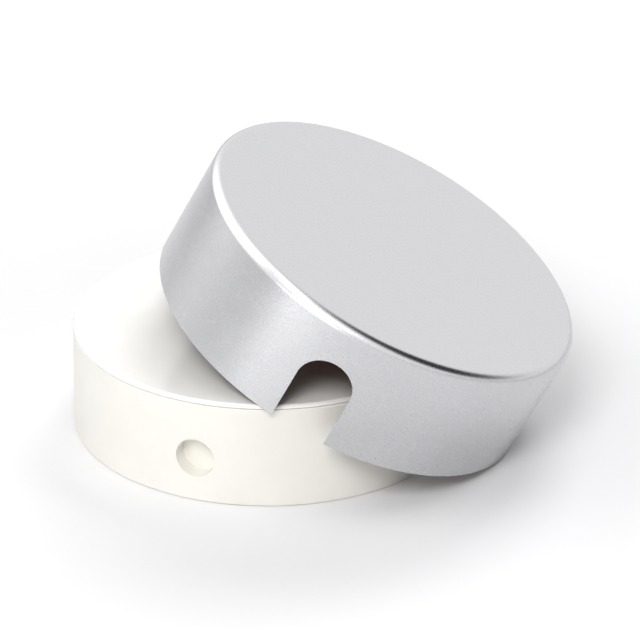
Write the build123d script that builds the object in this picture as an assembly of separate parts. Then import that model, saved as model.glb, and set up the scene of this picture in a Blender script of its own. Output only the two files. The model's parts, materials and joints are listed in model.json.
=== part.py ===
"""Round surface junction box for lamp and light wiring, with a slip-over metal cover.

A shallow round plastic box stands on its back, the side that goes against the ceiling or wall.
Its flush lid is shut, with a fine seam below the lid's rounded edge. Each cable entry in the wall
is a blind round recess, closed by a thin web that is knocked out when the entry is needed.
Inside are a five-pole screw terminal strip and a cord clamp.
The cover is a drawn sheet cap with an arched cable notch. It slips over the whole box in use.
Here it is off the box and leans on it: its low edge stands on the floor beside the box, and its
open rim hangs on the edge of the lid.

Frame, in millimetres: the origin is the centre of the box's back, +Z points from the back to the
lid, and -Y points at the knock-out beside the cord clamp.
"""

from build123d import *
import math
import os

# Box
BOX_D = 78.0  # outside diameter of the box and its lid
WALL = 2.0
FLOOR = 2.0
BACK_EDGE_R = 0.5  # rounding round the box's back
TOP_EDGE_R = 0.3  # rounding of the wall's top, below the seam
INNER_EDGE_R = 0.8  # rounding where the floor meets the wall

# Lid
LID_EDGE = 1.0  # how far the lid stands above the seam
LID_T = 2.0
LID_EDGE_R = 0.7
LID_ROOM = 2.9  # from the tops of the terminals up to the lid
SEAM_GAP = 0.25  # shadow line under the lid's edge
SEAM_DEPTH = 0.6
SPIGOT_DROP = 2.4  # how far the lid's ring reaches into the box
SPIGOT_T = 1.6
SPIGOT_FIT = 0.1
PRY_W = 9.0  # slot for a screwdriver, at the back of the lid
PRY_H = 0.6
PRY_DEPTH = 1.8

# Knock-out cable entries in the wall, and one in the floor
ENTRY_COUNT = 4
ENTRY_D = 8.0
ENTRY_Z = 9.3
ENTRY_DEPTH = 3.5  # from the outside of the wall to the web
ENTRY_WEB = 0.8
ENTRY_SLEEVE = 1.2  # wall of the sleeve round each recess
BACK_ENTRY_D = 14.0
BACK_ENTRY_INSET = 15.0  # from the inside of the wall to its middle
BACK_ENTRY_WEB = 0.9

# Slots for the two ceiling screws
SLOT_INSET = 8.5  # from the inside of the wall to a slot's middle
SLOT_W = 4.4
SLOT_L = 8.0
SLOT_PAD = 2.2  # margin of the raised pad round each slot
SLOT_PAD_H = 1.0

# Terminal screws, and how they sit when they are run right down
TERM_SHANK_D = 2.6
TERM_HEAD_D = 3.8
TERM_HEAD_H = 1.7
TERM_TIP_GAP = 0.1  # from the tip to the far side of the tube
TERM_NECK = 1.0  # from the tube up to the head
TERM_WELL_FIT = 0.35  # round the head in its turret

# Terminal strip
POLES = 5
STRIP_LIFT = 2.5  # height of the bosses that carry the strip
STRIP_SOLE = 2.3  # plastic below the tubes
STRIP_CAP = 0.7  # plastic above the tubes
STRIP_RIB = 0.5  # plastic between a tube and a fixing screw
STRIP_SIDE = 0.2  # plastic outside the turrets, along both sides
STRIP_END = 0.6  # plastic outside the turrets, at both ends
TURRET_WALL = 1.35
TURRET_SPLIT = 1.2  # between a pole's two turrets
TURRET_H = 4.4
TUBE_WALL = 0.9
TUBE_SIDE = 0.4  # from a terminal screw to the inside of its tube
TUBE_FIT = 0.05
TUBE_INSET = 0.5  # from the strip's side to the tube's end
FUNNEL = 0.7  # bevel where a wire goes in
POLE_CUT = 0.9  # width of the cut between one pole and the next
POLE_CUT_DEPTH = 2.6

# Screws that hold the strip
STRIP_SCREW_D = 2.4
STRIP_SCREW_L = 10.2
STRIP_SCREW_HEAD_D = 4.2
STRIP_BOSS_WALL = 2.0

# Cord clamp
CLAMP_INSET = 11.5  # from the inside of the wall to the bar's middle
CLAMP_SPAN = 19.0  # between its two screws
CLAMP_W = 7.0
CLAMP_T = 2.4
CLAMP_POST_D = 6.4
CLAMP_POST_H = 6.6
CLAMP_SCREW_D = 2.8
CLAMP_SCREW_TIP = 0.2  # from a screw's tip to the box's floor
CLAMP_SCREW_HEAD_D = 5.2
CLAMP_RIDGE_R = 1.1
CLAMP_RIDGE_GAP = 1.6  # from the ridge's ends to the posts
CRADLE_GAP = 1.05  # from the cradle to the posts
CRADLE_W = 4.0
CRADLE_DROP = 2.2  # from the posts' tops down to the cradle's horns
CORD_ROOM = 0.2  # round the cord in its cradle

# Screws in general
HEAD_RATIO = 0.38  # height of a pan head, as a share of its diameter
HEAD_ROUND = 0.4  # rounding of a head, as a share of its height
DRIVE_W = 0.7
DRIVE_DEPTH = 0.9
SCREW_FIT = 0.05  # round every screw in its hole

# Cover
COVER_T = 0.8
COVER_FIT = 0.2  # gap between the cover and the box's wall
COVER_HEADROOM = 2.2  # gap between the cover and the lid
COVER_EDGE_R = 2.0
NOTCH_SIDE = 1.7  # from the cable entry to the notch's sides
NOTCH_OVER = 3.3  # from the cable entry up to the top of the notch

# How the cover leans
FOOT_OUT = 11.3  # from the box's wall out to the cover's low edge
LEAN_YAW = 8.4  # direction of the cover's low edge, from +X
LEAN_GAP = 0.15  # what is left between the rim and the lid's edge

# Worked out from the sizes above: plan
BOX_R = BOX_D / 2
INSIDE_R = BOX_R - WALL
SLOT_X = INSIDE_R - SLOT_INSET
BACK_ENTRY_Y = INSIDE_R - BACK_ENTRY_INSET
CLAMP_Y = INSIDE_R - CLAMP_INSET
TUBE_BORE = TERM_SHANK_D + 2 * TUBE_SIDE
TUBE_D = TUBE_BORE + 2 * TUBE_WALL
TURRET_D = TERM_HEAD_D + 2 * (TERM_WELL_FIT + TURRET_WALL)
TURRET_Y = (TURRET_D + TURRET_SPLIT) / 2
POLE_PITCH = TUBE_D + STRIP_SCREW_D + 2 * STRIP_RIB
POLE_XS = [(i - (POLES - 1) / 2) * POLE_PITCH for i in range(POLES)]
STRIP_SCREW_X = (POLES - 2) / 2 * POLE_PITCH
STRIP_L = (POLES - 1) * POLE_PITCH + TURRET_D + 2 * STRIP_END
STRIP_W = 2 * TURRET_Y + TURRET_D + 2 * STRIP_SIDE
TUBE_L = STRIP_W - 2 * TUBE_INSET
CLAMP_L = CLAMP_SPAN + CLAMP_W

# Worked out from the sizes above: heights
STRIP_Z = FLOOR + STRIP_LIFT
TUBE_Z = STRIP_Z + STRIP_SOLE + TUBE_D / 2
STRIP_TOP_Z = TUBE_Z + TUBE_D / 2 + STRIP_CAP
TURRET_TOP_Z = STRIP_TOP_Z + TURRET_H
TERM_TIP_Z = TUBE_Z - math.sqrt((TUBE_BORE**2 - TERM_SHANK_D**2) / 4) + TERM_TIP_GAP
TERM_SEAT_Z = TUBE_Z + TUBE_D / 2 + TERM_NECK
CLAMP_SEAT_Z = FLOOR + CLAMP_POST_H
BOX_H = TURRET_TOP_Z + LID_ROOM + LID_T
SEAM_Z = BOX_H - LID_EDGE

# Worked out from the sizes above: cover
COVER_BORE_R = BOX_R + COVER_FIT
COVER_R = COVER_BORE_R + COVER_T
COVER_H = BOX_H + COVER_HEADROOM + COVER_T
NOTCH_W = ENTRY_D + 2 * NOTCH_SIDE
NOTCH_H = ENTRY_Z + ENTRY_D / 2 + NOTCH_OVER


def rod(radius, length, x=0.0, y=0.0, z=0.0):
    """Upright cylinder that stands on (x, y, z)."""
    return Pos(x, y, z) * extrude(Circle(radius), length)


def block(size_x, size_y, size_z, x=0.0, y=0.0, z=0.0):
    """Box that stands on (x, y, z) and is centred over it."""
    return Pos(x, y, z + size_z / 2) * Box(size_x, size_y, size_z)


def entry_rod(radius, inner, outer, angle):
    """Level cylinder at the entries' height, between two distances from the box's axis."""
    along = Plane(origin=(0, -inner, ENTRY_Z), x_dir=(1, 0, 0), z_dir=(0, -1, 0))
    return Rot(0, 0, angle) * (along * extrude(Circle(radius), outer - inner))


def slot_outline(margin=0.0):
    """Outline of a ceiling-screw slot, grown by a margin."""
    return SlotOverall(SLOT_L + 2 * margin, SLOT_W + 2 * margin)


def round_top(solid, radius):
    """Rounds the edges of the topmost face."""
    return fillet(solid.faces().sort_by(Axis.Z)[-1].edges(), radius)


def round_bottom(solid, radius):
    """Rounds the edges of the lowest face."""
    return fillet(solid.faces().sort_by(Axis.Z)[0].edges(), radius)


def screw(shank_d, length, head_d, head_h, x, y, seat_z, turn=0.0):
    """Slotted pan-head screw whose head sits on seat_z."""
    head = round_top(rod(head_d / 2, head_h), head_h * HEAD_ROUND)
    drive = block(head_d * 2, DRIVE_W, DRIVE_DEPTH * 2, z=head_h - DRIVE_DEPTH)
    shank = rod(shank_d / 2, length, z=-length)
    return Pos(x, y, seat_z) * Rot(0, 0, turn) * (head - drive + shank)


def box_base():
    """Floor of the box, with its screw slots and the recess of the entry from the ceiling."""
    floor = round_bottom(rod(BOX_R, FLOOR), BACK_EDGE_R)
    floor -= rod(BACK_ENTRY_D / 2, FLOOR - BACK_ENTRY_WEB, y=BACK_ENTRY_Y)
    for side in (-1, 1):
        floor += Pos(side * SLOT_X, 0, FLOOR / 2) * extrude(slot_outline(SLOT_PAD), FLOOR / 2 + SLOT_PAD_H)
        floor -= Pos(side * SLOT_X, 0, 0) * extrude(slot_outline(), FLOOR + SLOT_PAD_H)
    return floor


def box_wall():
    """Round wall with its knock-out entries, one moulding with the floor it stands on."""
    wall = round_top(rod(BOX_R, SEAM_Z - FLOOR, z=FLOOR), TOP_EDGE_R)
    wall -= round_bottom(rod(INSIDE_R, SEAM_Z, z=FLOOR), INNER_EDGE_R)
    entry_r = ENTRY_D / 2
    web_outside = BOX_R - ENTRY_DEPTH
    angles = [i * 360 / ENTRY_COUNT for i in range(ENTRY_COUNT)]
    for angle in angles:
        wall += entry_rod(entry_r + ENTRY_SLEEVE, web_outside - ENTRY_WEB, INSIDE_R + WALL / 2, angle)
    for angle in angles:
        wall -= entry_rod(entry_r, web_outside, BOX_R + WALL, angle)
    return wall


def post(screw_d, diameter, x, y, top_z):
    """Post that stands on the box's floor and takes a screw, one moulding with the floor."""
    height = top_z - FLOOR
    return rod(diameter / 2, height, x, y, FLOOR) - rod(screw_d / 2 + SCREW_FIT, height, x, y, FLOOR)


def strip_boss(side):
    """One of the two posts that carry the terminal strip."""
    return post(STRIP_SCREW_D, STRIP_SCREW_D + 2 * STRIP_BOSS_WALL, side * STRIP_SCREW_X, 0, STRIP_Z)


def clamp_post(side):
    """One of the two posts that carry the cord clamp."""
    return post(CLAMP_SCREW_D, CLAMP_POST_D, side * CLAMP_SPAN / 2, -CLAMP_Y, CLAMP_SEAT_Z)


def cord_cradle():
    """Saddle on the floor that the cord lies in, between the clamp's posts."""
    width = CLAMP_SPAN - CLAMP_POST_D - 2 * CRADLE_GAP
    height = CLAMP_SEAT_Z - CRADLE_DROP - FLOOR
    saddle = block(width, CRADLE_W, height, y=-CLAMP_Y, z=FLOOR)
    return saddle - entry_rod(ENTRY_D / 2 + CORD_ROOM, CLAMP_Y - CRADLE_W, CLAMP_Y + CRADLE_W, 0)


def box_lid():
    """Flush lid with a rounded edge, a ring that plugs into the box and a slot to pry it off."""
    disc = round_top(rod(BOX_R, LID_EDGE, z=SEAM_Z), LID_EDGE_R)
    reveal = rod(BOX_R, SEAM_GAP, z=SEAM_Z) - rod(BOX_R - SEAM_DEPTH, SEAM_GAP, z=SEAM_Z)
    pry_slot = block(PRY_W, 2 * PRY_DEPTH, PRY_H, y=BOX_R, z=SEAM_Z)
    spigot_r = INSIDE_R - SPIGOT_FIT
    spigot = rod(spigot_r, SPIGOT_DROP, z=SEAM_Z - SPIGOT_DROP)
    spigot -= rod(spigot_r - SPIGOT_T, BOX_H - LID_T)
    return disc - reveal - pry_slot + spigot


def terminal_strip():
    """Strip with a tube channel and two turrets for each pole."""
    strip = block(STRIP_L, STRIP_W, STRIP_TOP_Z - STRIP_Z, z=STRIP_Z)
    for x in POLE_XS:
        for side in (-1, 1):
            strip += rod(TURRET_D / 2, TURRET_H, x, side * TURRET_Y, STRIP_TOP_Z)
    channel_r = TUBE_D / 2 + TUBE_FIT
    well_r = TERM_HEAD_D / 2 + TERM_WELL_FIT
    for x in POLE_XS:
        strip -= Pos(x, 0, TUBE_Z) * Rot(90, 0, 0) * Cylinder(channel_r, 2 * STRIP_W)
        for side in (-1, 1):
            strip -= rod(well_r, TURRET_TOP_Z - TUBE_Z, x, side * TURRET_Y, TUBE_Z)
            mouth = Plane(origin=(x, side * STRIP_W / 2, TUBE_Z), z_dir=(0, -side, 0))
            strip -= mouth * Pos(0, 0, FUNNEL / 2) * Cone(channel_r + FUNNEL, channel_r, FUNNEL)
    for left, right in zip(POLE_XS, POLE_XS[1:]):
        for side in (-1, 1):
            y = side * (STRIP_W - POLE_CUT_DEPTH) / 2
            strip -= block(POLE_CUT, POLE_CUT_DEPTH, STRIP_TOP_Z, (left + right) / 2, y)
    for side in (-1, 1):
        strip -= rod(STRIP_SCREW_D / 2 + SCREW_FIT, STRIP_TOP_Z, side * STRIP_SCREW_X)
    return strip


def terminal_tube(x):
    """Brass tube of one pole, with a tapped hole for each of its two screws."""
    tube = Rot(90, 0, 0) * (Cylinder(TUBE_D / 2, TUBE_L) - Cylinder(TUBE_BORE / 2, TUBE_L))
    tube = Pos(x, 0, TUBE_Z) * tube
    for side in (-1, 1):
        tube -= rod(TERM_SHANK_D / 2 + SCREW_FIT, TUBE_D, x, side * TURRET_Y, TUBE_Z)
    return tube


def terminal_screw(x, side, turn):
    """Clamping screw of one terminal, run right down."""
    length = TERM_SEAT_Z - TERM_TIP_Z
    y = side * TURRET_Y
    return screw(TERM_SHANK_D, length, TERM_HEAD_D, TERM_HEAD_H, x, y, TERM_SEAT_Z, turn)


def strip_screw(side):
    """Screw that holds one end of the terminal strip to its boss."""
    head_h = STRIP_SCREW_HEAD_D * HEAD_RATIO
    x = side * STRIP_SCREW_X
    return screw(STRIP_SCREW_D, STRIP_SCREW_L, STRIP_SCREW_HEAD_D, head_h, x, 0, STRIP_TOP_Z, 35 * side)


def clamp_bar():
    """Bar of the cord clamp, with a ridge that bites on the cord."""
    at_seat = Pos(0, -CLAMP_Y, CLAMP_SEAT_Z)
    bar = at_seat * extrude(SlotOverall(CLAMP_L, CLAMP_W), CLAMP_T)
    ridge_l = CLAMP_SPAN - CLAMP_POST_D - 2 * CLAMP_RIDGE_GAP
    bar += at_seat * Rot(0, 90, 0) * Cylinder(CLAMP_RIDGE_R, ridge_l)
    for side in (-1, 1):
        hole_r = CLAMP_SCREW_D / 2 + SCREW_FIT
        bar -= rod(hole_r, CLAMP_T, side * CLAMP_SPAN / 2, -CLAMP_Y, CLAMP_SEAT_Z)
    return bar


def clamp_screw(side):
    """One of the cord clamp's two screws, run right down."""
    head_h = CLAMP_SCREW_HEAD_D * HEAD_RATIO
    seat_z = CLAMP_SEAT_Z + CLAMP_T
    length = seat_z - FLOOR - CLAMP_SCREW_TIP
    x = side * CLAMP_SPAN / 2
    return screw(CLAMP_SCREW_D, length, CLAMP_SCREW_HEAD_D, head_h, x, -CLAMP_Y, seat_z, 20 * side)


def outer_cover():
    """Drawn cap in its own frame: rim at z 0, axis +Z and the cable notch towards -Y."""
    cap = round_top(rod(COVER_R, COVER_H), COVER_EDGE_R)
    cap -= round_top(rod(COVER_BORE_R, COVER_H - COVER_T), COVER_EDGE_R - COVER_T)
    arch_z = NOTCH_H - NOTCH_W / 2
    arch = Pos(0, -COVER_R, arch_z) * Rot(90, 0, 0) * Cylinder(NOTCH_W / 2, COVER_R)
    return cap - arch - block(NOTCH_W, COVER_R, arch_z, y=-COVER_R)


def cover_plane(tilt):
    """The cover's frame when it leans at a tilt, in degrees, with its low edge on the floor."""
    lean, yaw = math.radians(tilt), math.radians(LEAN_YAW)
    out = BOX_R + FOOT_OUT - COVER_R * math.cos(lean)
    flat = Vector(math.cos(yaw), math.sin(yaw), 0)
    up = Vector(0, 0, 1)
    centre = flat * out + up * (COVER_R * math.sin(lean))
    low_side = flat * math.cos(lean) - up * math.sin(lean)
    axis = flat * math.sin(lean) + up * math.cos(lean)
    return Plane(origin=centre, x_dir=low_side, z_dir=axis)


def rim_gap(tilt):
    """Smallest distance between the leaning cover and the box, below 0 where they cross."""
    plane = cover_plane(tilt)
    gaps = []
    for degree in range(360):
        turn = Vector(math.cos(math.radians(degree)), math.sin(math.radians(degree)), 0)
        rim = plane.from_local_coords(turn * COVER_BORE_R)
        beside, above = math.hypot(rim.X, rim.Y) - BOX_R, rim.Z - BOX_H
        outside = math.hypot(beside, above) if min(beside, above) > 0 else max(beside, above)
        gaps.append(outside)
        edge = plane.to_local_coords(turn * BOX_R + Vector(0, 0, BOX_H))
        if edge.Z > 0:
            gaps.append(COVER_BORE_R - math.hypot(edge.X, edge.Y))
            gaps.append(COVER_H - COVER_T - edge.Z)
    return min(gaps)


def lean_tilt():
    """Tilt at which the cover comes to rest on the lid's edge."""
    crossing, clear = 5.0, 45.0
    while clear - crossing > 1e-4:
        tilt = (crossing + clear) / 2
        if rim_gap(tilt) < LEAN_GAP:
            crossing = tilt
        else:
            clear = tilt
    return clear


def make_parts():
    """Every piece by its node's name, where it lies in the box's frame."""
    parts = {
        "box_base": box_base(),
        "box_wall": box_wall(),
        "cord_cradle": cord_cradle(),
        "box_lid": box_lid(),
        "outer_cover": cover_plane(lean_tilt()) * outer_cover(),
        "terminal_strip": terminal_strip(),
        "cord_clamp_bar": clamp_bar(),
    }
    for name, side in (("left", -1), ("right", 1)):
        parts[f"strip_boss_{name}"] = strip_boss(side)
        parts[f"strip_screw_{name}"] = strip_screw(side)
        parts[f"clamp_post_{name}"] = clamp_post(side)
        parts[f"cord_clamp_screw_{name}"] = clamp_screw(side)
    for pole, x in enumerate(POLE_XS, 1):
        parts[f"terminal_tube_{pole}"] = terminal_tube(x)
        parts[f"terminal_screw_{pole}_front"] = terminal_screw(x, -1, 37 * pole)
        parts[f"terminal_screw_{pole}_back"] = terminal_screw(x, 1, 53 * pole)
    return parts


if __name__ == "__main__":
    os.makedirs("parts", exist_ok=True)
    for node, shape in make_parts().items():
        export_step(shape, f"parts/{node}.step")
    rest = cover_plane(lean_tilt())
    print("box height", round(BOX_H, 3), "cover height", round(COVER_H, 3))
    print("cover tilt", round(lean_tilt(), 3), "rim centre", rest.origin, "cover axis", rest.z_dir)
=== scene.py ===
import json
import math

import bmesh
import bpy
from bpy.props import FloatProperty
from bpy.props import FloatVectorProperty
from bpy.props import PointerProperty
from mathutils import Matrix
from mathutils import Vector


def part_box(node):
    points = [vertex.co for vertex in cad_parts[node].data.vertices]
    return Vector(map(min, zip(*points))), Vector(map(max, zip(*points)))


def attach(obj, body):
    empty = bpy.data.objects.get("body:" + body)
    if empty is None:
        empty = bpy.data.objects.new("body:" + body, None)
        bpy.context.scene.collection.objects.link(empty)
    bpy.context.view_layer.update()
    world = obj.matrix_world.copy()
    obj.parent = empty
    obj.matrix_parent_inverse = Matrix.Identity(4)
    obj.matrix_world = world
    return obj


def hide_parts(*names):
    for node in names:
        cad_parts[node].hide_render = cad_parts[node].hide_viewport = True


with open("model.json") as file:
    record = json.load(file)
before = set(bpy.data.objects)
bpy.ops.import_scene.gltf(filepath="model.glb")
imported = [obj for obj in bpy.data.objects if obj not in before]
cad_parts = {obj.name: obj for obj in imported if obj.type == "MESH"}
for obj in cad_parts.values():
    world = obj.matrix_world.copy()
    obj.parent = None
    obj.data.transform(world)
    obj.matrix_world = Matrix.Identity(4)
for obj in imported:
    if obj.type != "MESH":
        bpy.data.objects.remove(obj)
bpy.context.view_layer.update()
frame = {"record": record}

bl_info = {
    "name": "Surface junction box",
    "version": (1, 0, 0),
    "blender": (4, 5, 0),
    "location": "3D View > Sidebar > Junction box",
    "description": "Round junction box with a slip-on metal cover, built round its CAD model",
    "category": "Add Mesh",
}

MM = 0.001
PAST = 1.0  # how far a shape reaches into what it joins, or past what it cuts, in millimetres
LARGE_ROUND = 360  # flat sides of the box and the cover
SMALL_ROUND = 64  # flat sides of posts and holes
SCREW_ROUND = 32  # flat sides of screws
SHARP = math.radians(38)  # edges that turn by more are rounded, and shaded as edges
EDGE_STEPS = 3  # flat strips across a rounded edge
THREAD_STEPS = 8  # rings of points in each turn of a thread
THREAD_SHARE = 0.4  # depth of a thread, of its pitch
PAN_HEAD = 0.38  # height of a pan head, of its diameter
POLES = 5
SIDES = (-1, 1)
BODIES = frame["record"]["behaviour"]["bodies"]
NODE_BODIES = {node: body for body, nodes in BODIES.items() for node in nodes}

WALL_LOW, WALL_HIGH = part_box("box_wall")
LID_LOW, LID_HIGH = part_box("box_lid")
STRIP_LOW, STRIP_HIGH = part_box("terminal_strip")
BAR_LOW, BAR_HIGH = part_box("cord_clamp_bar")


def length(name, description, default):
    """Property that holds a length in metres."""
    return FloatProperty(
        name=name, description=description, default=default, min=0.0, unit="LENGTH", precision=5
    )


def angle(name, description, degrees):
    """Property that holds an angle, given in degrees."""
    return FloatProperty(
        name=name, description=description, default=math.radians(degrees), subtype="ANGLE"
    )


def colour(name, description, default):
    """Property that holds a linear colour."""
    return FloatVectorProperty(
        name=name, description=description, default=default, size=3, min=0.0, max=1.0, subtype="COLOR"
    )


def factor(name, description, default, highest=1.0):
    """Property that holds a plain number from 0."""
    return FloatProperty(name=name, description=description, default=default, min=0.0, max=highest)


class BoxSizes(bpy.types.PropertyGroup):
    """Sizes of the plastic box and its lid."""

    radius: length("Radius", "Outside radius of the box and its lid", WALL_HIGH.x)
    wall: length("Wall", "Thickness of the wall", 2.0 * MM)
    floor: length("Floor", "Thickness of the floor", WALL_LOW.z)
    seam: length("Seam height", "Height of the seam between the box and its lid", WALL_HIGH.z)
    height: length("Height", "Height of the shut box", LID_HIGH.z)
    lid_rounding: length("Lid rounding", "Rounding of the lid's upper edge", 0.7 * MM)
    seam_gap: length("Seam gap", "Height of the shadow line under the lid", 0.25 * MM)
    seam_depth: length("Seam depth", "Depth of the shadow line under the lid", 0.6 * MM)
    entry: length("Entry diameter", "Diameter of a knock-out in the wall", 8.0 * MM)
    entry_height: length("Entry height", "Height of the knock-outs' middles", 9.3 * MM)
    entry_depth: length("Entry depth", "Depth of a knock-out", 3.5 * MM)
    edge: length("Edge rounding", "Rounding of the moulded edges", 0.18 * MM)


class CoverSizes(bpy.types.PropertyGroup):
    """Sizes of the metal cover and the way it leans."""

    radius: length("Radius", "Outside radius of the cover", 40.0 * MM)
    height: length("Height", "Height of the cover", 25.0 * MM)
    sheet: length("Sheet", "Thickness of its sheet metal", 0.8 * MM)
    rounding: length("Rounding", "Rounding of its drawn edge, outside", 2.0 * MM)
    notch_width: length("Notch width", "Width of the cable notch", 11.4 * MM)
    notch_height: length("Notch height", "Height of the cable notch", 16.6 * MM)
    edge: length("Edge rounding", "Rounding of the cut edges of the sheet", 0.16 * MM)
    reach: length("Reach", "From the box's axis out to the cover's low edge", 50.3 * MM)
    tilt: angle("Tilt", "How far the cover leans", 27.36)
    yaw: angle("Yaw", "Direction of the cover's low edge, from +X", 8.4)


class StripSizes(bpy.types.PropertyGroup):
    """Sizes of the terminal strip."""

    pitch: length("Pitch", "From one pole to the next", 8.6 * MM)
    turret: length("Turret diameter", "Diameter of the turret round each screw", 7.2 * MM)
    turret_height: length("Turret height", "Height of the turrets above the block", 4.4 * MM)
    well: length("Well diameter", "Diameter of the well that a screw's head sits in", 4.5 * MM)
    channel: length("Channel diameter", "Diameter of the channel that holds a pole's tube", 5.3 * MM)
    tube_height: length("Tube height", "Height of the tubes' middles", 9.4 * MM)


class Finishes(bpy.types.PropertyGroup):
    """Colours of the materials."""

    shell: colour("Box", "Plastic of the box", (0.85, 0.83, 0.775))
    lid: colour("Lid", "Plastic of the lid", (0.91, 0.90, 0.865))
    cover: colour("Cover", "Satin metal of the cover", (0.62, 0.62, 0.635))
    # Dark warm colour of the cover's inside: painted shade, standing in for the deep shade seen through
    # the notch
    inside_painted_shade: colour("Cover inside", "Bare metal inside the cover", (0.14, 0.05, 0.025))
    strip: colour("Strip", "Nylon of the terminal strip", (0.80, 0.775, 0.715))
    brass: colour("Brass", "Brass of the terminals", (0.78, 0.57, 0.26))
    zinc: colour("Zinc", "Zinc plating of the screws", (0.62, 0.63, 0.64))
    clamp: colour("Clamp", "Plastic of the cord clamp", (0.80, 0.79, 0.75))
    studio_floor: colour("Floor", "Floor of the studio", (0.80, 0.80, 0.81))


class Studio(bpy.types.PropertyGroup):
    """Camera and light."""

    azimuth: angle("Azimuth", "Direction of the camera round the object", 21.236)
    elevation: angle("Elevation", "Height of the camera above the horizon", 27.093)
    pan: angle("Pan", "Turn of the camera about its own upright", -0.741)
    pitch: angle("Pitch", "Turn of the camera about its own level axis", 1.353)
    distance: length("Distance", "From the origin to the camera", 816.811 * MM)
    lens: factor("Lens", "Focal length in millimetres", 226.84, 1000.0)
    front: factor("Front", "Strength of the soft light in front, in watts", 1.66, 1000.0)
    back: factor("Back", "Strength of the soft light behind the object, in watts", 1.52, 1000.0)
    above: factor("Above", "Strength of the soft light above, in watts", 0.38, 1000.0)
    left: factor("Left", "Strength of the soft light at the left, in watts", 0.47, 1000.0)
    low: factor("Low", "Strength of the low strip light at the front left, in watts", 0.34, 1000.0)
    fill: factor("Fill", "Light on plain surfaces from above, all round", 0.455, 10.0)
    horizon: factor("Horizon", "Light on plain surfaces from near the floor, all round", 0.16, 10.0)
    shine: factor("Shine", "Brightness of the studio's walls in reflections", 1.1, 10.0)
    floor_lift: factor("Floor lift", "Brightness added to the floor in the camera's view", 0.05, 10.0)


def arc(x, y, radius, start, end, steps=8):
    """Points of an arc, from a start to an end angle in degrees."""
    turns = [math.radians(start + (end - start) * i / steps) for i in range(steps + 1)]
    return [(x + radius * math.cos(turn), y + radius * math.sin(turn)) for turn in turns]


def ring_faces(rings):
    """Faces between one ring of points and the next, all round a closed profile."""
    faces = []
    for lower, upper in zip(rings, rings[1:] + rings[:1]):
        for i, j in zip(range(len(lower)), [*range(1, len(lower)), 0]):
            corners = list(dict.fromkeys((lower[i], lower[j], upper[j], upper[i])))
            if len(corners) > 2:
                faces.append(corners)
    return faces


def turned(profile, sides=LARGE_ROUND):
    """Closed shape turned about Z. A radius may be a function of the share of a turn."""
    points, rings = [], []
    for radius, height in profile:
        if radius == 0:
            rings.append([len(points)] * sides)
            points.append(Vector((0, 0, height)))
            continue
        rings.append(list(range(len(points), len(points) + sides)))
        for i in range(sides):
            out = radius(i / sides) if callable(radius) else radius
            turn = math.tau * i / sides
            points.append(Vector((out * math.cos(turn), out * math.sin(turn), height)))
    return points, ring_faces(rings)


def prism(outline, low, high):
    """Closed shape with this outline, between two heights."""
    count = len(outline)
    points = [Vector((x, y, z)) for z in (low, high) for x, y in outline]
    faces = [list(range(count)), list(range(count, 2 * count))]
    faces += [[i, (i + 1) % count, count + (i + 1) % count, count + i] for i in range(count)]
    return points, faces


def rod(radius, low, high, x=0.0, y=0.0, sides=SMALL_ROUND):
    """Upright cylinder."""
    return prism(arc(x, y, radius, 0, 360 - 360 / sides, sides - 1), low, high)


def block(size_x, size_y, low, high, x=0.0, y=0.0):
    """Upright box centred over a point."""
    half_x, half_y = size_x / 2, size_y / 2
    signs = ((-1, -1), (1, -1), (1, 1), (-1, 1))
    return prism([(x + i * half_x, y + j * half_y) for i, j in signs], low, high)


def slot_outline(length_over_all, width, x=0.0, y=0.0):
    """Outline of a slot with round ends that runs along X."""
    reach, steps = (length_over_all - width) / 2, 24
    right_end = arc(x + reach, y, width / 2, -90, 90, steps)
    return right_end + arc(x - reach, y, width / 2, 90, 270, steps)


def moved(shape, matrix):
    """A shape in another place."""
    points, faces = shape
    return [matrix @ point for point in points], faces


def laid(shape, angle_out, height):
    """A shape whose +Z is turned to point straight out from the box's axis, at a height."""
    out = Matrix.Rotation(math.radians(angle_out), 4, "Z") @ Matrix.Rotation(math.radians(90), 4, "X")
    return moved(shape, Matrix.Translation((0, 0, height)) @ out)


def new_piece(name, *shapes):
    """Object made of closed shapes, in millimetres for now."""
    body = bmesh.new()
    for points, faces in shapes:
        made = [body.verts.new(point) for point in points]
        for face in faces:
            body.faces.new([made[i] for i in face])
    bmesh.ops.recalc_face_normals(body, faces=body.faces)
    mesh = bpy.data.meshes.new(name)
    body.to_mesh(mesh)
    body.free()
    piece = bpy.data.objects.new(name, mesh)
    bpy.context.scene.collection.objects.link(piece)
    return piece


def settle(piece):
    """Makes a piece's modifiers part of its mesh."""
    graph = bpy.context.evaluated_depsgraph_get()
    evaluated = piece.evaluated_get(graph)
    mesh = bpy.data.meshes.new_from_object(evaluated, preserve_all_data_layers=True, depsgraph=graph)
    old = piece.data
    piece.modifiers.clear()
    piece.data = mesh
    bpy.data.meshes.remove(old)
    if not mesh.polygons:
        raise RuntimeError(f"nothing is left of {piece.name}")


def combine(piece, operation, *shapes):
    """Adds shapes that don't overlap each other to a piece, or cuts them out of it."""
    tool = new_piece("tool", *shapes)
    step = piece.modifiers.new(operation, "BOOLEAN")
    step.operation = operation
    step.solver = "EXACT"
    step.object = tool
    settle(piece)
    bpy.data.meshes.remove(tool.data)


def add(piece, *shapes):
    """Adds shapes to a piece."""
    combine(piece, "UNION", *shapes)


def cut(piece, *shapes):
    """Cuts shapes out of a piece."""
    combine(piece, "DIFFERENCE", *shapes)


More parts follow.
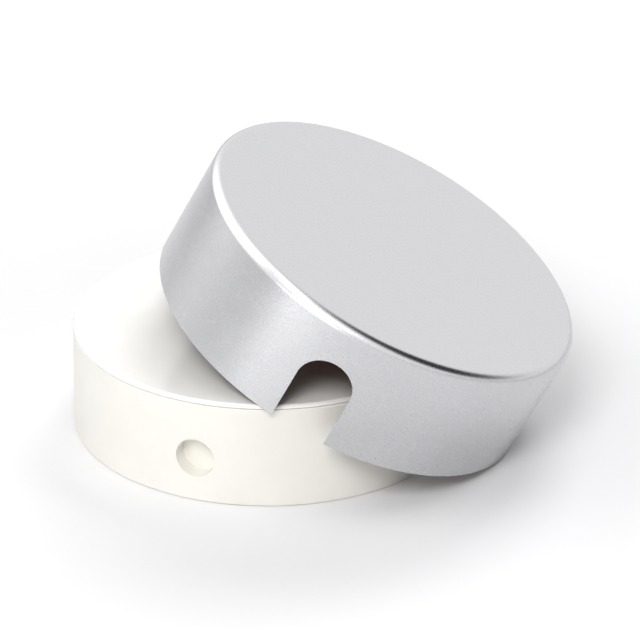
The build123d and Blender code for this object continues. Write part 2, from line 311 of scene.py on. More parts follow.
def soften(piece, rounding):
    """Rounds the sharp edges a little, and shades the flat faces flat and the round ones round."""
    same_point, no_length = 0.002, 0.0005
    body = bmesh.new()
    body.from_mesh(piece.data)
    bmesh.ops.remove_doubles(body, verts=body.verts, dist=same_point)
    bmesh.ops.dissolve_degenerate(body, edges=body.edges, dist=no_length)
    body.to_mesh(piece.data)
    body.free()
    if rounding:
        edges = piece.modifiers.new("edges", "BEVEL")
        edges.width = rounding
        edges.segments = EDGE_STEPS
        edges.limit_method = "ANGLE"
        edges.angle_limit = SHARP
        edges.miter_outer = "MITER_ARC"
        settle(piece)
    piece.data.shade_smooth()
    piece.data.set_sharp_from_angle(angle=SHARP)
    normals = piece.modifiers.new("normals", "WEIGHTED_NORMAL")
    normals.keep_sharp = True
    settle(piece)


def placed(piece, matrix=Matrix.Identity(4)):
    """Brings a piece from millimetres to its place in the frame."""
    piece.data.transform(matrix @ Matrix.Scale(MM, 4))
    piece.data.update()
    return piece


def stand_for(piece, slot, *nodes, slack=0.12 * MM):
    """Puts a piece in the place of CAD nodes, after a look at whether it has their size."""
    low = Vector(min(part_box(n)[0][i] for n in nodes) for i in range(3))
    high = Vector(max(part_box(n)[1][i] for n in nodes) for i in range(3))
    for i, axis in enumerate("XYZ"):
        values = [v.co[i] for v in piece.data.vertices]
        if abs(min(values) - low[i]) > slack or abs(max(values) - high[i]) > slack:
            spans = f"{min(values)} to {max(values)}, not {low[i]} to {high[i]}"
            raise RuntimeError(f"{piece.name} doesn't fit {nodes} along {axis}: {spans}")
    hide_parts(*nodes)
    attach(piece, NODE_BODIES[nodes[0]])
    return piece


def paint(piece, *materials):
    """Gives a piece its materials, in place of any it has."""
    piece.data.materials.clear()
    for material in materials:
        piece.data.materials.append(material)


class Nodes:
    """Short way to add and link the nodes of one node tree."""

    MIX_SHARE, MIX_FIRST, MIX_SECOND, MIX_RESULT = 0, 6, 7, 2

    def __init__(self, tree):
        self.tree = tree

    def add(self, kind, inputs=None, **settings):
        """New node, with its settings and its inputs, which are values or sockets."""
        node = self.tree.nodes.new(kind)
        for name, value in settings.items():
            setattr(node, name, value)
        for name, value in (inputs or {}).items():
            socket = node.inputs[name]
            if isinstance(value, bpy.types.NodeSocket):
                self.tree.links.new(value, socket)
            else:
                socket.default_value = value
        return node

    def math(self, operation, *values):
        """Result of a sum with one or two values."""
        return self.add("ShaderNodeMath", dict(enumerate(values)), operation=operation).outputs[0]

    def between(self, value, low, high, result_low=0.0, result_high=1.0, smooth=True):
        """Value brought smoothly from one range to another."""
        inputs = {"Value": value, "From Min": low, "From Max": high}
        inputs |= {"To Min": result_low, "To Max": result_high}
        kind = "SMOOTHSTEP" if smooth else "LINEAR"
        return self.add("ShaderNodeMapRange", inputs, interpolation_type=kind).outputs["Result"]

    def mix(self, share, first, second):
        """Blend of two colours."""
        node = self.tree.nodes.new("ShaderNodeMix")
        node.data_type = "RGBA"
        values = {self.MIX_SHARE: share, self.MIX_FIRST: first, self.MIX_SECOND: second}
        for index, value in values.items():
            if isinstance(value, bpy.types.NodeSocket):
                self.tree.links.new(value, node.inputs[index])
            elif index == self.MIX_SHARE:
                node.inputs[index].default_value = value
            else:
                node.inputs[index].default_value = (*value, 1.0)
        return node.outputs[self.MIX_RESULT]

    def place(self):
        """Place on the object, in metres."""
        return self.add("ShaderNodeTexCoord").outputs["Object"]

    def noise(self, scale, **inputs):
        """Noise all over the object, from 0 to 1."""
        inputs |= {"Vector": self.place(), "Scale": scale}
        return self.add("ShaderNodeTexNoise", inputs).outputs["Fac"]

    def towards(self, direction, aim):
        """How near a direction is to another, as the cosine of the angle between them."""
        inputs = {0: direction, 1: aim}
        return self.add("ShaderNodeVectorMath", inputs, operation="DOT_PRODUCT").outputs["Value"]


def new_group(name, inputs, outputs):
    """Shader node group with named inputs, as (name, default), and outputs."""
    tree = bpy.data.node_groups.new(name, "ShaderNodeTree")
    for label, default in inputs:
        socket = tree.interface.new_socket(label, in_out="INPUT", socket_type="NodeSocketFloat")
        socket.default_value = default
    for label in outputs:
        tree.interface.new_socket(label, in_out="OUTPUT", socket_type="NodeSocketFloat")
    nodes = Nodes(tree)
    return nodes, nodes.add("NodeGroupInput"), nodes.add("NodeGroupOutput")


def group_named(name, make):
    """A node group, made when it is first asked for."""
    return bpy.data.node_groups.get(name) or make(name)


def make_grain(name):
    """Fine all-over grain, from 0 to 1, and its size in metres."""
    nodes, given, result = new_group(name, (("Size", 0.0002), ("Detail", 2.0)), ("Grain",))
    scale = nodes.math("DIVIDE", 1.0, given.outputs["Size"])
    grain = nodes.noise(scale, Detail=given.outputs["Detail"], Roughness=0.6)
    nodes.tree.links.new(grain, result.inputs["Grain"])
    return nodes.tree


def make_mottle(name):
    """Slow change over the surface between a low and a high value."""
    nodes, given, result = new_group(name, (("Size", 0.01), ("Low", 0.0), ("High", 1.0)), ("Value",))
    scale = nodes.math("DIVIDE", 1.0, given.outputs["Size"])
    cloud, thin, thick = nodes.noise(scale, Detail=3.0, Roughness=0.55), 0.32, 0.68
    value = nodes.between(cloud, thin, thick, given.outputs["Low"], given.outputs["High"])
    nodes.tree.links.new(value, result.inputs["Value"])
    return nodes.tree


def make_rubbed(name):
    """Mask of the edges that handling rubs, 1 on the edge."""
    nodes, given, result = new_group(name, (("Reach", 0.06), ("Break Up", 0.5)), ("Mask",))
    flat, patches_in_metre, bare, whole = 0.5, 900.0, 0.35, 0.65
    pointed = nodes.add("ShaderNodeNewGeometry").outputs["Pointiness"]
    reach = nodes.math("ADD", flat, given.outputs["Reach"])
    edge = nodes.between(pointed, flat + 0.005, reach)
    patchy = nodes.between(nodes.noise(patches_in_metre, Detail=4.0), bare, whole)
    kept = nodes.math("MULTIPLY", given.outputs["Break Up"], nodes.math("SUBTRACT", 1.0, patchy))
    mask = nodes.math("MULTIPLY", edge, nodes.math("SUBTRACT", 1.0, kept))
    nodes.tree.links.new(mask, result.inputs["Mask"])
    return nodes.tree


GROUPS = {"Fine grain": make_grain, "Slow mottle": make_mottle, "Rubbed edges": make_rubbed}


def tinted(colour_value, share):
    """A colour made lighter or darker by a share."""
    return tuple(min(1.0, channel * share) for channel in colour_value)


class Finish:
    """A material in the making, with its Principled shader."""

    def __init__(self, name, **sockets):
        self.material = bpy.data.materials.new(name)
        self.material.use_nodes = True
        tree = self.material.node_tree
        self.nodes = Nodes(tree)
        self.shader = tree.nodes["Principled BSDF"]
        for label, value in sockets.items():
            self.shader.inputs[label.replace("_", " ")].default_value = value

    def effect(self, name, **values):
        """Output of a shared effect with its own values."""
        group = self.nodes.add("ShaderNodeGroup", node_tree=group_named(name, GROUPS[name]))
        for label, value in values.items():
            group.inputs[label.replace("_", " ")].default_value = value
        return group.outputs[0]

    def feed(self, label, value):
        """Links a value to one of the shader's sockets."""
        self.nodes.tree.links.new(value, self.shader.inputs[label])

    def feed_tints(self, share, base, dark, light):
        """Lets the colour swing between two tints of a base colour."""
        self.feed("Base Color", self.nodes.mix(share, tinted(base, dark), tinted(base, light)))

    def feed_roughness(self, value, low, high, smoothest, roughest):
        """Brings a value from its own range to a range of roughness."""
        self.feed("Roughness", self.nodes.between(value, low, high, smoothest, roughest, smooth=False))

    def feed_bump(self, height, distance, strength=1.0):
        """Links a height, in shares of a distance in metres, to the normal."""
        inputs = {"Height": height, "Distance": distance, "Strength": strength}
        self.feed("Normal", self.nodes.add("ShaderNodeBump", inputs).outputs["Normal"])


def satin_cover(finishes):
    """Fine satin metal with a faint mottled grain."""
    finish = Finish("cover_satin", Metallic=1.0, Roughness=0.27)
    grain = finish.effect("Fine grain", Size=0.00022, Detail=3.0)
    slow = finish.effect("Slow mottle", Size=0.004, Low=0.0, High=1.0)
    fine_share, slow_share = 0.88, 0.12
    fine = finish.nodes.math("MULTIPLY", grain, fine_share)
    cloud = finish.nodes.math("ADD", fine, finish.nodes.math("MULTIPLY", slow, slow_share))
    finish.feed_tints(cloud, finishes.cover, 0.972, 1.028)
    finish.feed_roughness(cloud, 0.2, 0.8, 0.25, 0.29)
    finish.feed_bump(grain, 0.000012, 0.8)
    return finish.material


def painted_shade_inside(finishes):
    """Dull inside of the drawn sheet, dark and warm: painted shade for the deep shade seen through the
    notch.
    """
    finish = Finish("inside_painted_shade", Metallic=0.5, Roughness=0.5)
    slow = finish.effect("Slow mottle", Size=0.006, Low=0.0, High=1.0)
    finish.feed_tints(slow, finishes.inside_painted_shade, 0.85, 1.15)
    grain = finish.effect("Fine grain", Size=0.0003, Detail=2.0)
    finish.feed_bump(grain, 0.00002, 0.6)
    return finish.material


def moulded(name, base, roughness, grain_size, grain_depth, **sockets):
    """Moulded plastic with a fine grain, slow changes of gloss and rubbed edges."""
    finish = Finish(name, **sockets)
    slow = finish.effect("Slow mottle", Size=0.012, Low=0.0, High=1.0)
    grain = finish.effect("Fine grain", Size=grain_size, Detail=3.0)
    edge = finish.effect("Rubbed edges", Reach=0.08, Break_Up=0.6)
    darker, lighter, rubbed_tint, rubbed_share = 0.985, 1.015, 1.04, 0.5
    body = finish.nodes.mix(slow, tinted(base, darker), tinted(base, lighter))
    share = finish.nodes.math("MULTIPLY", edge, rubbed_share)
    finish.feed("Base Color", finish.nodes.mix(share, body, tinted(base, rubbed_tint)))
    finish.feed_roughness(slow, 0.0, 1.0, roughness - 0.03, roughness + 0.04)
    finish.feed_bump(grain, grain_depth)
    return finish.material


def plated(name, base, roughness, mark_size):
    """Machined and plated metal with fine marks and brighter edges."""
    finish = Finish(name, Metallic=1.0)
    grain = finish.effect("Fine grain", Size=mark_size, Detail=4.0)
    slow = finish.effect("Slow mottle", Size=0.0012, Low=0.0, High=1.0)
    edge = finish.effect("Rubbed edges", Reach=0.1, Break_Up=0.4)
    darker, lighter, rubbed_tint = 0.9, 1.06, 1.2
    body = finish.nodes.mix(slow, tinted(base, darker), tinted(base, lighter))
    finish.feed("Base Color", finish.nodes.mix(edge, body, tinted(base, rubbed_tint)))
    finish.feed_roughness(grain, 0.25, 0.75, roughness - 0.06, roughness + 0.1)
    finish.feed_bump(grain, 0.00002, 0.5)
    return finish.material


def turned_metal(name, base, roughness):
    """Bright turned metal with tool marks round its level axis."""
    finish = Finish(name, Metallic=1.0)
    nodes = finish.nodes
    marks_in_metre = (150.0, 16000.0, 150.0)
    inputs = {0: nodes.place(), 1: marks_in_metre}
    stretched = nodes.add("ShaderNodeVectorMath", inputs, operation="MULTIPLY").outputs["Vector"]
    inputs = {"Vector": stretched, "Scale": 1.0, "Detail": 3.0}
    marks = nodes.add("ShaderNodeTexNoise", inputs).outputs["Fac"]
    slow = finish.effect("Slow mottle", Size=0.0015, Low=0.0, High=1.0)
    finish.feed_tints(slow, base, 0.9, 1.07)
    finish.feed_roughness(marks, 0.3, 0.7, roughness - 0.06, roughness + 0.1)
    finish.feed_bump(marks, 0.00002, 0.6)
    return finish.material


def floor_finish(finishes, floor_lift):
    """Pale floor that is seen as white but keeps the object's shadow."""
    near, far, far_lift, mirror_lift = 0.05, 0.3, 0.6, 0.05
    finish = Finish("studio_floor", Roughness=0.9, Specular_IOR_Level=0.0)
    slow = finish.effect("Slow mottle", Size=0.2, Low=0.0, High=1.0)
    finish.feed_tints(slow, finishes.studio_floor, 0.995, 1.005)
    nodes = finish.nodes
    ray = nodes.add("ShaderNodeLightPath").outputs
    seen = nodes.math("MAXIMUM", ray["Is Camera Ray"], ray["Is Transmission Ray"])
    mirrored = nodes.math("MULTIPLY", ray["Is Glossy Ray"], mirror_lift)
    away = nodes.add("ShaderNodeVectorMath", {0: nodes.place()}, operation="LENGTH").outputs["Value"]
    lifted = nodes.between(away, near, far, floor_lift, far_lift)
    lift = nodes.math("ADD", nodes.math("MULTIPLY", seen, lifted), mirrored)
    shine = nodes.add("ShaderNodeEmission", {"Color": (1.0, 1.0, 1.0, 1.0), "Strength": lift})
    both = nodes.add("ShaderNodeAddShader")
    tree = finish.material.node_tree
    tree.links.new(finish.shader.outputs[0], both.inputs[0])
    tree.links.new(shine.outputs[0], both.inputs[1])
    tree.links.new(both.outputs[0], tree.nodes["Material Output"].inputs["Surface"])
    return finish.material


def cover_frame(cover):
    """Place of the leaning cover: its open rim at z 0, its axis +Z and its notch towards -Y."""
    flat = Vector((math.cos(cover.yaw), math.sin(cover.yaw), 0))
    up = Vector((0, 0, 1))
    low_side = flat * math.cos(cover.tilt) - up * math.sin(cover.tilt)
    axis = flat * math.sin(cover.tilt) + up * math.cos(cover.tilt)
    centre = flat * (cover.reach - cover.radius * math.cos(cover.tilt))
    centre += up * (cover.radius * math.sin(cover.tilt))
    turn = Matrix((low_side, axis.cross(low_side), axis)).transposed().to_4x4()
    return Matrix.Translation(centre) @ turn


class MakeCover(bpy.types.Operator):
    """Drawn metal cover with its cable notch"""

    bl_idname = "junction_box.make_cover"
    bl_label = "Metal cover"

    def execute(self, context):
        cover = context.scene.junction_cover
        radius, height, sheet = cover.radius / MM, cover.height / MM, cover.sheet / MM
        bore, rounding = radius - sheet, cover.rounding / MM
        profile = [(radius, 0.0)]
        profile += arc(radius - rounding, height - rounding, rounding, 0, 90, 20)
        profile += [(0, height), (0, height - sheet)]
        profile += arc(bore - rounding + sheet, height - rounding, rounding - sheet, 90, 0, 14)
        profile += [(bore, 0.0)]
        piece = new_piece("cover_shell", turned(profile))
        half = cover.notch_width / MM / 2
        arch_height = cover.notch_height / MM - half
        arch = [(-half, -2 * PAST), (half, -2 * PAST)] + arc(0, arch_height, half, 0, 180, 72)
        cut(piece, laid(prism(arch, bore - 8 * PAST, radius + 2 * PAST), 0, 0))
        soften(piece, cover.edge / MM)
        finishes = context.scene.junction_finishes
        # The faces inside the cover get the second material, painted shade: a dark warm colour for the
        # deep shade seen through the notch
        paint(piece, satin_cover(finishes), painted_shade_inside(finishes))
        margin = 0.05
        for face in piece.data.polygons:
            beside = math.hypot(face.center.x, face.center.y)
            inside = beside < bore + margin and face.center.z < height - sheet + margin
            face.material_index = int(inside)
        placed(piece, cover_frame(cover))
        stand_for(piece, "cover_metal", "outer_cover")
        return {"FINISHED"}


class MakeLid(bpy.types.Operator):
    """Flush lid with its rounded edge, its plug-in ring and its prying slot"""

    bl_idname = "junction_box.make_lid"
    bl_label = "Lid"

    def execute(self, context):
        box = context.scene.junction_box
        radius, seam, height = box.radius / MM, box.seam / MM, box.height / MM
        rounding, gap, groove = box.lid_rounding / MM, box.seam_gap / MM, radius - box.seam_depth / MM
        thickness, ring_inset, ring_wall, fillet = 2.0, 2.1, 1.6, 0.4
        lead_height, lead_width = 0.5, 0.3
        slot_width, slot_depth, slot_below, slot_above = 9.0, 3.6, 0.5, 0.6
        under, ring_low = height - thickness, LID_LOW.z / MM
        ring_r = radius - ring_inset
        ring_bore = ring_r - ring_wall
        profile = [(0, height)]
        profile += arc(radius - rounding, height - rounding, rounding, 90, 0, 12)
        profile += [(radius, seam + gap), (groove, seam + gap), (groove, seam), (ring_r, seam)]
        profile += [(ring_r, ring_low + lead_height), (ring_r - lead_width, ring_low)]
        profile += [(ring_bore, ring_low)]
        profile += arc(ring_bore - fillet, under - fillet, fillet, 0, 90, 5)
        profile += [(0, under)]
        piece = new_piece("lid_cap", turned(profile))
        cut(piece, block(slot_width, slot_depth, seam - slot_below, seam + slot_above, y=radius))
        soften(piece, 0.08)
        plastic = context.scene.junction_finishes.lid
        paint(piece, moulded("lid_gloss", plastic, 0.15, 0.0015, 0.000004, IOR=1.5))
        placed(piece)
        stand_for(piece, "lid_plastic", "box_lid")
        return {"FINISHED"}


class MakeBox(bpy.types.Operator):
    """Box with its knock-outs, screw slots and posts"""

    bl_idname = "junction_box.make_box"
    bl_label = "Box"

    def execute(self, context):
        box = context.scene.junction_box
        radius, wall, floor, seam = box.radius / MM, box.wall / MM, box.floor / MM, box.seam / MM
        inside = radius - wall
        foot, rim, corner = 0.5, 0.3, 0.8
        profile = [(0, 0.0)]
        profile += arc(radius - foot, foot, foot, -90, 0, 8)
        profile += arc(radius - rim, seam - rim, rim, 0, 90, 6)
        profile += arc(inside + rim, seam - rim, rim, 90, 180, 6)
        profile += arc(inside - corner, floor + corner, corner, 0, -90, 8)
        profile += [(0, floor)]
        piece = new_piece("box_tray", turned(profile))
        entry_r, entry_z = box.entry / MM / 2, box.entry_height / MM
        web, web_wall, collar = radius - box.entry_depth / MM, 0.8, 1.2
        boss = rod(entry_r + collar, web - web_wall, inside + PAST)
        hole = rod(entry_r, web, radius + 2 * PAST)
        ways = (0, 90, 180, 270)
        add(piece, *(laid(boss, way, entry_z) for way in ways))
        cut(piece, *(laid(hole, way, entry_z) for way in ways))
        self.add_posts(piece, inside, floor)
        soften(piece, box.edge / MM)
        plastic = context.scene.junction_finishes.shell
        paint(piece, moulded("shell_satin", plastic, 0.36, 0.0006, 0.000012, IOR=1.5))
        placed(piece)
        posts = [f"{kind}_{side}" for kind in ("strip_boss", "clamp_post") for side in ("left", "right")]
        stand_for(piece, "shell_plastic", "box_wall", "box_base", "cord_cradle", *posts)
        return {"FINISHED"}

    def add_posts(self, piece, inside, floor):
        """What stands on the floor, and what is cut into it."""
        slot_x, strip_x, clamp_x, clamp_y = inside - 8.5, 12.9, 9.5, -(inside - 11.5)
        slot_size, pad_size, pad_height = (8.0, 4.4), (12.4, 8.8), 1.0
        post_r, boss_top, post_top, boss_hole, post_hole = 3.2, 4.5, 8.6, 1.25, 1.45
        cradle_length, cradle_width, cradle_top = 10.5, 4.0, 6.4
        cord_r, cord_z, cord_reach = 4.2, 9.3, 4.0
        entry_r, entry_top, entry_y = 7.0, 1.1, inside - 15.0
        sole, pad_top = floor - PAST, floor + pad_height
        pads = [prism(slot_outline(*pad_size, side * slot_x), sole, pad_top) for side in SIDES]
        bosses = [rod(post_r, sole, boss_top, side * strip_x) for side in SIDES]
        posts = [rod(post_r, sole, post_top, side * clamp_x, clamp_y) for side in SIDES]
        cradle = block(cradle_length, cradle_width, sole, cradle_top, y=clamp_y)
        add(piece, *pads, *bosses, *posts, cradle)
        slot_top = floor + 2 * PAST
        holes = [prism(slot_outline(*slot_size, side * slot_x), -PAST, slot_top) for side in SIDES]
        holes += [rod(boss_hole, floor, 6.0, side * strip_x) for side in SIDES]
        holes += [rod(post_hole, floor, 10.0, side * clamp_x, clamp_y) for side in SIDES]
        holes.append(laid(rod(cord_r, -clamp_y - cord_reach, -clamp_y + cord_reach), 0, cord_z))
        holes.append(rod(entry_r, -PAST, entry_top, y=entry_y))
        cut(piece, *holes)


def thread_radius(radius, depth, pitch, height):
    """Radius of a screw thread at a height, as a function of the share of a turn."""

    def at(share):
        phase = (height / pitch - share) % 1.0
        ridge = min(1.0, 1.5 * (1.0 - abs(2.0 * phase - 1.0)))
        return radius - depth * (1.0 - ridge)

    return at


def make_screw(node, material, shank_d, head_d, head_h, pitch, turn):
    """Slotted pan-head screw with a cut thread, in the place of a CAD screw."""
    low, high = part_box(node)
    top = (high.z - low.z) / MM
    seat, radius, depth = top - head_h, shank_d / 2, pitch * THREAD_SHARE
    point, neck, edge, slot_width, slot_depth = 0.15, 0.5, 0.1, 0.7, 0.9
    head_r, dome_r = head_d / 2, head_h * 0.4
    profile = [(0, 0.0), (radius - depth, 0.0)]
    steps = int((seat - neck) / (pitch / THREAD_STEPS))
    for i in range(steps + 1):
        height = point + i * pitch / THREAD_STEPS
        profile.append((thread_radius(radius, depth, pitch, height), height))
    profile += [(radius, seat - edge), (radius, seat), (head_r - edge, seat), (head_r, seat + edge)]
    profile += arc(head_r - dome_r, top - dome_r, dome_r, 0, 90, 8)
    profile.append((0, top))
    piece = new_piece(f"{node}_threaded", turned(profile, SCREW_ROUND))
    slot = block(head_d * 1.5, slot_width, top - slot_depth, top + PAST)
    cut(piece, moved(slot, Matrix.Rotation(math.radians(turn), 4, "Z")))
    soften(piece, 0.0)
    paint(piece, material)
    placed(piece, Matrix.Translation(((low.x + high.x) / 2, (low.y + high.y) / 2, low.z)))
    return stand_for(piece, "screw_steel", node)


class MakeScrews(bpy.types.Operator):
    """Terminal screws, strip screws and clamp screws"""

    bl_idname = "junction_box.make_screws"
    bl_label = "Screws"

    def execute(self, context):
        zinc = plated("screw_zinc", context.scene.junction_finishes.zinc, 0.3, 0.00012)
        for pole in range(1, POLES + 1):
            for side, step in (("front", 37), ("back", 53)):
                node = f"terminal_screw_{pole}_{side}"
                make_screw(node, zinc, shank_d=2.6, head_d=3.8, head_h=1.7, pitch=0.45, turn=step * pole)
        for name, side in zip(("left", "right"), SIDES):
            for kind, shank_d, head_d, pitch, turn in (
                ("strip_screw", 2.4, 4.2, 0.8, 35),
                ("cord_clamp_screw", 2.8, 5.2, 0.9, 20),
            ):
                node, head_h = f"{kind}_{name}", head_d * PAN_HEAD
                make_screw(node, zinc, shank_d, head_d, head_h, pitch, turn * side)
        return {"FINISHED"}


class MakeStrip(bpy.types.Operator):
    """Terminal strip with its turrets, wells and wire funnels"""

    bl_idname = "junction_box.make_strip"
    bl_label = "Terminal strip"

    def execute(self, context):
        sizes = context.scene.junction_strip
        pitch, turret, well = sizes.pitch / MM, sizes.turret / MM / 2, sizes.well / MM / 2
        tube_z, channel = sizes.tube_height / MM, sizes.channel / MM / 2
        sole, (half_l, half_w, top) = STRIP_LOW.z / MM, (value / MM for value in STRIP_HIGH)
        base = top - sizes.turret_height / MM
        turret_inset, gap_width, gap_depth, screw_hole = 0.2, 0.9, 2.6, 1.25
        turret_y, gap_y = half_w - turret_inset - turret, half_w - gap_depth / 2
        xs = [(i - (POLES - 1) / 2) * pitch for i in range(POLES)]
        spots = [(x, side * turret_y) for x in xs for side in SIDES]
        piece = new_piece("strip_block", block(2 * half_l, 2 * half_w, sole, base))
        add(piece, *(rod(turret, base - PAST / 2, top, x, y) for x, y in spots))
        throat, mouth, mouth_r, reach = half_w - 0.7, half_w + 0.05, channel + 0.75, 20
        funnel = turned([(0, throat), (channel, throat), (mouth_r, mouth), (0, mouth)], SMALL_ROUND)
        cut(piece, *(laid(rod(channel, -reach, reach, x), 0, tube_z) for x in xs))
        for way in (0, 180):
            cut(piece, *(moved(laid(funnel, way, tube_z), Matrix.Translation((x, 0, 0))) for x in xs))
        cut(piece, *(rod(well, tube_z, top + PAST, x, y) for x, y in spots))
        gaps = [((xs[i] + xs[i + 1]) / 2, side * gap_y) for i in range(POLES - 1) for side in SIDES]
        cut(piece, *(block(gap_width, gap_depth, 0, top + PAST, x, y) for x, y in gaps))
        cut(piece, *(rod(screw_hole, 0, top + PAST, side * 1.5 * pitch) for side in SIDES))
        soften(piece, 0.12)
        nylon = context.scene.junction_finishes.strip
        paint(piece, moulded("strip_nylon", nylon, 0.45, 0.0005, 0.00001, Subsurface_Weight=0.15))
        placed(piece)
        stand_for(piece, "strip_plastic", "terminal_strip")
        return {"FINISHED"}


class MakeTubes(bpy.types.Operator):
    """Brass tubes inside the terminal strip"""

    bl_idname = "junction_box.make_tubes"
    bl_label = "Terminal tubes"

    def execute(self, context):
        brass = turned_metal("tube_brass", context.scene.junction_finishes.brass, 0.26)
        wall, chamfer, hole_r, hole_y, hole_top = 0.9, 0.15, 1.35, 4.2, 4
        for pole in range(1, POLES + 1):
            low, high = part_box(f"terminal_tube_{pole}")
            half, radius = (high.y - low.y) / 2 / MM, (high.x - low.x) / 2 / MM
            bore, end, sides = radius - wall, half - chamfer, 96
            profile = [(radius, -end), (radius, end), (radius - chamfer, half), (bore + chamfer, half)]
            profile += [(bore, end), (bore, -end), (bore + chamfer, -half), (radius - chamfer, -half)]
            piece = new_piece(f"tube_{pole}_turned", laid(turned(profile, sides), 0, 0))
            cut(piece, *(rod(hole_r, 0, hole_top, 0, side * hole_y) for side in SIDES))
            soften(piece, 0.06)
            paint(piece, brass)
            placed(piece, Matrix.Translation((low + high) / 2))
            stand_for(piece, "tube_brass", f"terminal_tube_{pole}")
        return {"FINISHED"}


class MakeClamp(bpy.types.Operator):
    """Bar of the cord clamp, with its biting ridge"""

    bl_idname = "junction_box.make_clamp"
    bl_label = "Cord clamp"

    def execute(self, context):
        width, y = (BAR_HIGH.y - BAR_LOW.y) / MM, (BAR_HIGH.y + BAR_LOW.y) / 2 / MM
        ridge_r, ridge_reach, hole_r = 1.1, 4.7, 1.45
        seat, top, reach = BAR_LOW.z / MM + ridge_r, BAR_HIGH.z / MM, BAR_HIGH.x / MM
        screw_x = reach - width / 2
        piece = new_piece("clamp_bar_moulded", prism(slot_outline(2 * reach, width, 0, y), seat, top))
        ridge = moved(rod(ridge_r, -ridge_reach, ridge_reach), Matrix.Rotation(math.radians(90), 4, "Y"))
        add(piece, moved(ridge, Matrix.Translation((0, y, seat))))
        cut(piece, *(rod(hole_r, 0, top + PAST, side * screw_x, y) for side in SIDES))
        soften(piece, 0.25)
        plastic = context.scene.junction_finishes.clamp
        paint(piece, moulded("clamp_plastic", plastic, 0.4, 0.0005, 0.00001))
        placed(piece)
        stand_for(piece, "clamp_plastic", "cord_clamp_bar")
        return {"FINISHED"}


def heading(azimuth, elevation):
    """Direction at this angle round the object, from the front, and this angle above the floor."""
    level = math.cos(elevation)
    return Vector((math.sin(azimuth) * level, -math.cos(azimuth) * level, math.sin(elevation)))


def area_light(name, watts, azimuth, elevation, width, height, distance=0.6):
    """Soft light that looks at the object and isn't seen itself, with its angles in degrees."""
    light = bpy.data.lights.new(name, "AREA")
    light.shape = "RECTANGLE"
    light.size = width
    light.size_y = height
    light.energy = watts
    lamp = bpy.data.objects.new(name, light)
    back = heading(math.radians(azimuth), math.radians(elevation))
    lamp.location = back * distance
    lamp.rotation_mode = "QUATERNION"
    lamp.rotation_quaternion = (-back).to_track_quat("-Z", "Y")
    lamp.visible_camera = False
    bpy.context.scene.collection.objects.link(lamp)
    return lamp


def screen_mask(nodes, towards, azimuth, elevation, middle, edge):
    """Round screen in the studio: 1 as far as the angle of its middle, 0 past that of its edge."""
    near = nodes.towards(towards, heading(math.radians(azimuth), math.radians(elevation)))
    return nodes.between(near, math.cos(math.radians(edge)), math.cos(math.radians(middle)))


def make_world(studio):
    """White studio with a bright screen at the left and a dark one at the right, seen in the metal."""
    world = bpy.data.worlds.new("studio")
    world.use_nodes = True
    tree = world.node_tree
    nodes = Nodes(tree)
    background = tree.nodes["Background"]
    towards = nodes.add("ShaderNodeTexCoord").outputs["Generated"]
    dark = screen_mask(nodes, towards, azimuth=104, elevation=41, middle=20, edge=37)
    bright = screen_mask(nodes, towards, azimuth=262, elevation=38, middle=18, edge=46)
    screen_shine, dark_colour, overhead = 1.9 * studio.shine, (0.006, 0.006, 0.012), 0.7
    walls = nodes.between(bright, 0.0, 1.0, studio.shine, screen_shine, smooth=False)
    ray = nodes.add("ShaderNodeLightPath").outputs
    seen = nodes.math("MAXIMUM", ray["Is Camera Ray"], ray["Is Transmission Ray"])
    unseen = nodes.math("SUBTRACT", 1.0, seen)
    share = nodes.math("MULTIPLY", dark, unseen)
    colour_out = nodes.mix(share, (1.0, 1.0, 1.0), dark_colour)
    tree.links.new(colour_out, background.inputs["Color"])
    height = nodes.add("ShaderNodeSeparateXYZ", {"Vector": towards}).outputs["Z"]
    plain = nodes.between(height, 0.0, overhead, studio.horizon, studio.fill)
    mirrored = nodes.between(ray["Is Glossy Ray"], 0.0, 1.0, plain, walls, smooth=False)
    strength = nodes.between(seen, 0.0, 1.0, mirrored, 1.0, smooth=False)
    tree.links.new(strength, background.inputs["Strength"])
    bpy.context.scene.world = world


def make_camera(studio):
    """Camera at the photograph's angle."""
    data = bpy.data.cameras.new("camera")
    data.lens = studio.lens
    data.sensor_width = 36.0
    data.clip_start, data.clip_end = 0.01, 50.0
    camera = bpy.data.objects.new("camera", data)
    a, e = studio.azimuth, studio.elevation
    turn = Matrix.Rotation(a, 4, "Z") @ Matrix.Rotation(math.pi / 2 - e, 4, "X")
    turn = turn @ Matrix.Rotation(studio.pan, 4, "Y") @ Matrix.Rotation(studio.pitch, 4, "X")
    camera.matrix_world = Matrix.Translation(heading(a, e) * studio.distance) @ turn
    bpy.context.scene.collection.objects.link(camera)
    bpy.context.scene.camera = camera


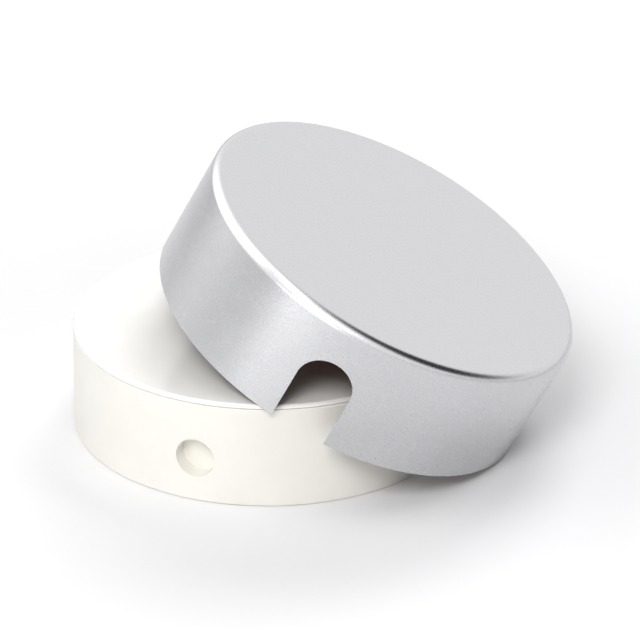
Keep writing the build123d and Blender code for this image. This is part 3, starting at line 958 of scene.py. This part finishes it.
class MakeStage(bpy.types.Operator):
    """Pale floor, soft light and the camera"""

    bl_idname = "junction_box.make_stage"
    bl_label = "Stage"

    def execute(self, context):
        studio = context.scene.junction_studio
        across, bottom, top = 6000.0, -20.0, -0.01
        floor = new_piece("studio_floor", block(across, across, bottom, top))
        placed(floor)
        paint(floor, floor_finish(context.scene.junction_finishes, studio.floor_lift))
        area_light("front_softbox", studio.front, azimuth=11, elevation=43, width=0.2, height=0.2)
        back = area_light("back_softbox", studio.back, azimuth=176, elevation=48, width=0.3, height=0.3)
        back.visible_glossy = False
        area_light("top_softbox", studio.above, azimuth=0, elevation=85, width=0.3, height=0.3)
        area_light("left_softbox", studio.left, azimuth=292, elevation=42, width=0.3, height=0.3)
        low = {"azimuth": 345, "elevation": 9, "width": 0.26, "height": 0.12, "distance": 0.45}
        area_light("low_softbox", studio.low, **low)
        make_world(studio)
        make_camera(studio)
        context.scene.view_settings.view_transform = "Standard"
        return {"FINISHED"}


PIECES = (MakeCover, MakeLid, MakeBox, MakeStrip, MakeTubes, MakeClamp, MakeScrews, MakeStage)
SETTINGS = (
    ("junction_box", BoxSizes),
    ("junction_cover", CoverSizes),
    ("junction_strip", StripSizes),
    ("junction_finishes", Finishes),
    ("junction_studio", Studio),
)


class JunctionBoxPanel(bpy.types.Panel):
    """Buttons that make the pieces, and their settings"""

    bl_idname = "VIEW3D_PT_junction_box"
    bl_label = "Junction box"
    bl_space_type = "VIEW_3D"
    bl_region_type = "UI"
    bl_category = "Junction box"

    def draw(self, context):
        for piece in PIECES:
            self.layout.operator(piece.bl_idname)
        for name, group in SETTINGS:
            settings = getattr(context.scene, name)
            area = self.layout.box()
            area.label(text=group.__doc__)
            for label in group.__annotations__:
                area.prop(settings, label)


CLASSES = (*(group for _, group in SETTINGS), *PIECES, JunctionBoxPanel)


def register():
    """Registers the classes and their settings."""
    for item in CLASSES:
        bpy.utils.register_class(item)
    for name, group in SETTINGS:
        setattr(bpy.types.Scene, name, PointerProperty(type=group))


def unregister():
    """Takes the settings and the classes away again."""
    for name, _ in SETTINGS:
        delattr(bpy.types.Scene, name)
    for item in reversed(CLASSES):
        bpy.utils.unregister_class(item)


def main():
    """Makes every piece."""
    register()
    for piece in PIECES:
        group, name = piece.bl_idname.split(".")
        getattr(getattr(bpy.ops, group), name)()


if __name__ == "__main__":
    main()
